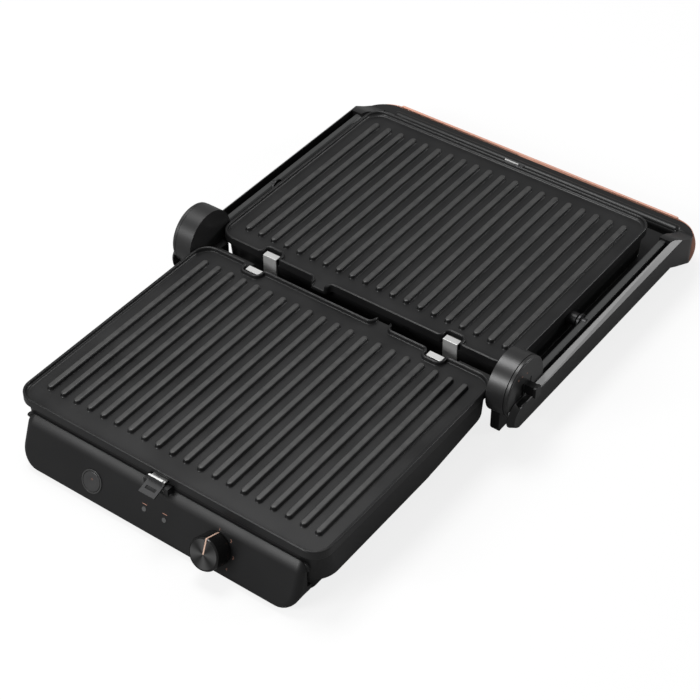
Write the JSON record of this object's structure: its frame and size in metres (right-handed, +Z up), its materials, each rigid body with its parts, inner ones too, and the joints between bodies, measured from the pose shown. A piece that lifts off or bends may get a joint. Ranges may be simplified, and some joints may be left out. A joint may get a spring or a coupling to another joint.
{
  "type": "electric indoor grill",
  "caption": "Two-plate electric contact grill lying open, with ribbed plates, hinge drums, a yoke with handle, heat knob and power button.",
  "frame": {"origin": "centre of the bounding box on the counter", "axes": "+X to the right seen from the front, +Y away from the control panel, +Z up"},
  "size_m": [0.3586, 0.5719, 0.0835],
  "materials": {
    "moulding": "fine satin grain",
    "yoke_black": "satin",
    "yoke_rail": "satin",
    "knob_black": "turned face",
    "copper_trim": "rose copper, satin",
    "cooking_plate": "non-stick coated",
    "bright_steel": "bright",
    "element": "oxidised sheath",
    "reflector_sheet": "rolled sheet",
    "ceramic": "plain",
    "lens": "frosted",
    "board": "laminate",
    "foot_rubber": "matt"
  },
  "bodies": {
    "base": {"base_housing": "moulding", "control_housing": "moulding", "bottom_cover": "moulding", "rubber_feet": "foot_rubber", "left_hinge_tower": "moulding", "right_hinge_tower": "moulding", "lower_plate": "cooking_plate", "lower_heater": "element", "lower_reflector": "reflector_sheet", "lower_thermostat": "reflector_sheet", "thermal_fuse": "ceramic", "rear_hooks": "bright_steel", "latch_pin": "bright_steel", "button_bezel": "moulding", "switch_body": "moulding", "indicator_lenses": "lens", "indicator_board": "board", "regulator": "bright_steel", "terminal_block": "ceramic", "cord_gland": "moulding", "base_screws": "bright_steel", "tower_screws": "bright_steel"},
    "power_button": {"power_button": "moulding"},
    "knob": {"knob": "knob_black", "knob_face": "knob_black", "knob_pointer": "copper_trim", "knob_shaft": "bright_steel"},
    "latch": {"latch": "bright_steel"},
    "drip_tray": {"drip_tray": "moulding"},
    "yoke": {"left_arm": "yoke_black", "right_arm": "yoke_black", "left_arm_rail": "yoke_rail", "right_arm_rail": "yoke_rail", "handle_bar": "yoke_black", "handle_grip_plate": "moulding", "handle_trim": "copper_trim", "left_hinge_cap": "moulding", "right_hinge_cap": "moulding", "hinge_pins": "bright_steel", "lid_pivot_pins": "bright_steel", "arm_screws": "bright_steel"},
    "hinge_lever": {"hinge_lever": "moulding"},
    "lid": {"lid_frame": "moulding", "lid_cover": "moulding", "upper_plate": "cooking_plate", "upper_heater": "element", "upper_reflector": "reflector_sheet", "upper_thermostat": "reflector_sheet", "lid_hooks": "bright_steel", "lid_latch_pin": "bright_steel", "lid_screws": "bright_steel"},
    "lid_latch": {"lid_latch": "bright_steel"}
  },
  "joints": [
    {"name": "yoke_hinge", "type": "hinge", "parent": "base", "child": "yoke", "pos_m": [-0.00275, -0.01152, 0.056], "axis": [1, 0, 0], "range_deg": [0, 175.05]},
    {"name": "lid_tilt", "type": "hinge", "parent": "yoke", "child": "lid", "pos_m": [-0.00275, 0.09398, 0.046], "axis": [1, 0, 0], "range_deg": [0, 5]},
    {"name": "knob_turn", "type": "hinge", "parent": "base", "child": "knob", "pos_m": [0.05775, -0.26631, 0.02313], "axis": [0, 0.9336, -0.3584], "range_deg": [0, 135]},
    {"name": "button_press", "type": "slide", "parent": "base", "child": "power_button", "axis": [0, 0.9336, -0.3584], "range_m": [0, 0.0018], "stiffness_N_per_m": 300, "springref_m": -0.001},
    {"name": "latch_release", "type": "hinge", "parent": "base", "child": "latch", "pos_m": [-0.00275, -0.25962, 0.0484], "axis": [1, 0, 0], "range_deg": [0, 14], "stiffness_Nm_per_rad": 0.05, "springref_deg": -8.59},
    {"name": "tray_slide", "type": "slide", "parent": "base", "child": "drip_tray", "axis": [0, 1, 0], "range_m": [0, 0.07]},
    {"name": "lever_slide", "type": "slide", "parent": "yoke", "child": "hinge_lever", "axis": [0, -1, 0], "range_m": [0, 0.01]},
    {"name": "lid_latch_release", "type": "hinge", "parent": "lid", "child": "lid_latch", "pos_m": [-0.00275, 0.23658, 0.0484], "axis": [-1, 0, 0], "range_deg": [0, 14], "stiffness_Nm_per_rad": 0.05, "springref_deg": -8.59}
  ],
  "couplings": [
    {"joint": "lid_tilt", "follows": "yoke_hinge", "ratio": 0.02828}
  ]
}
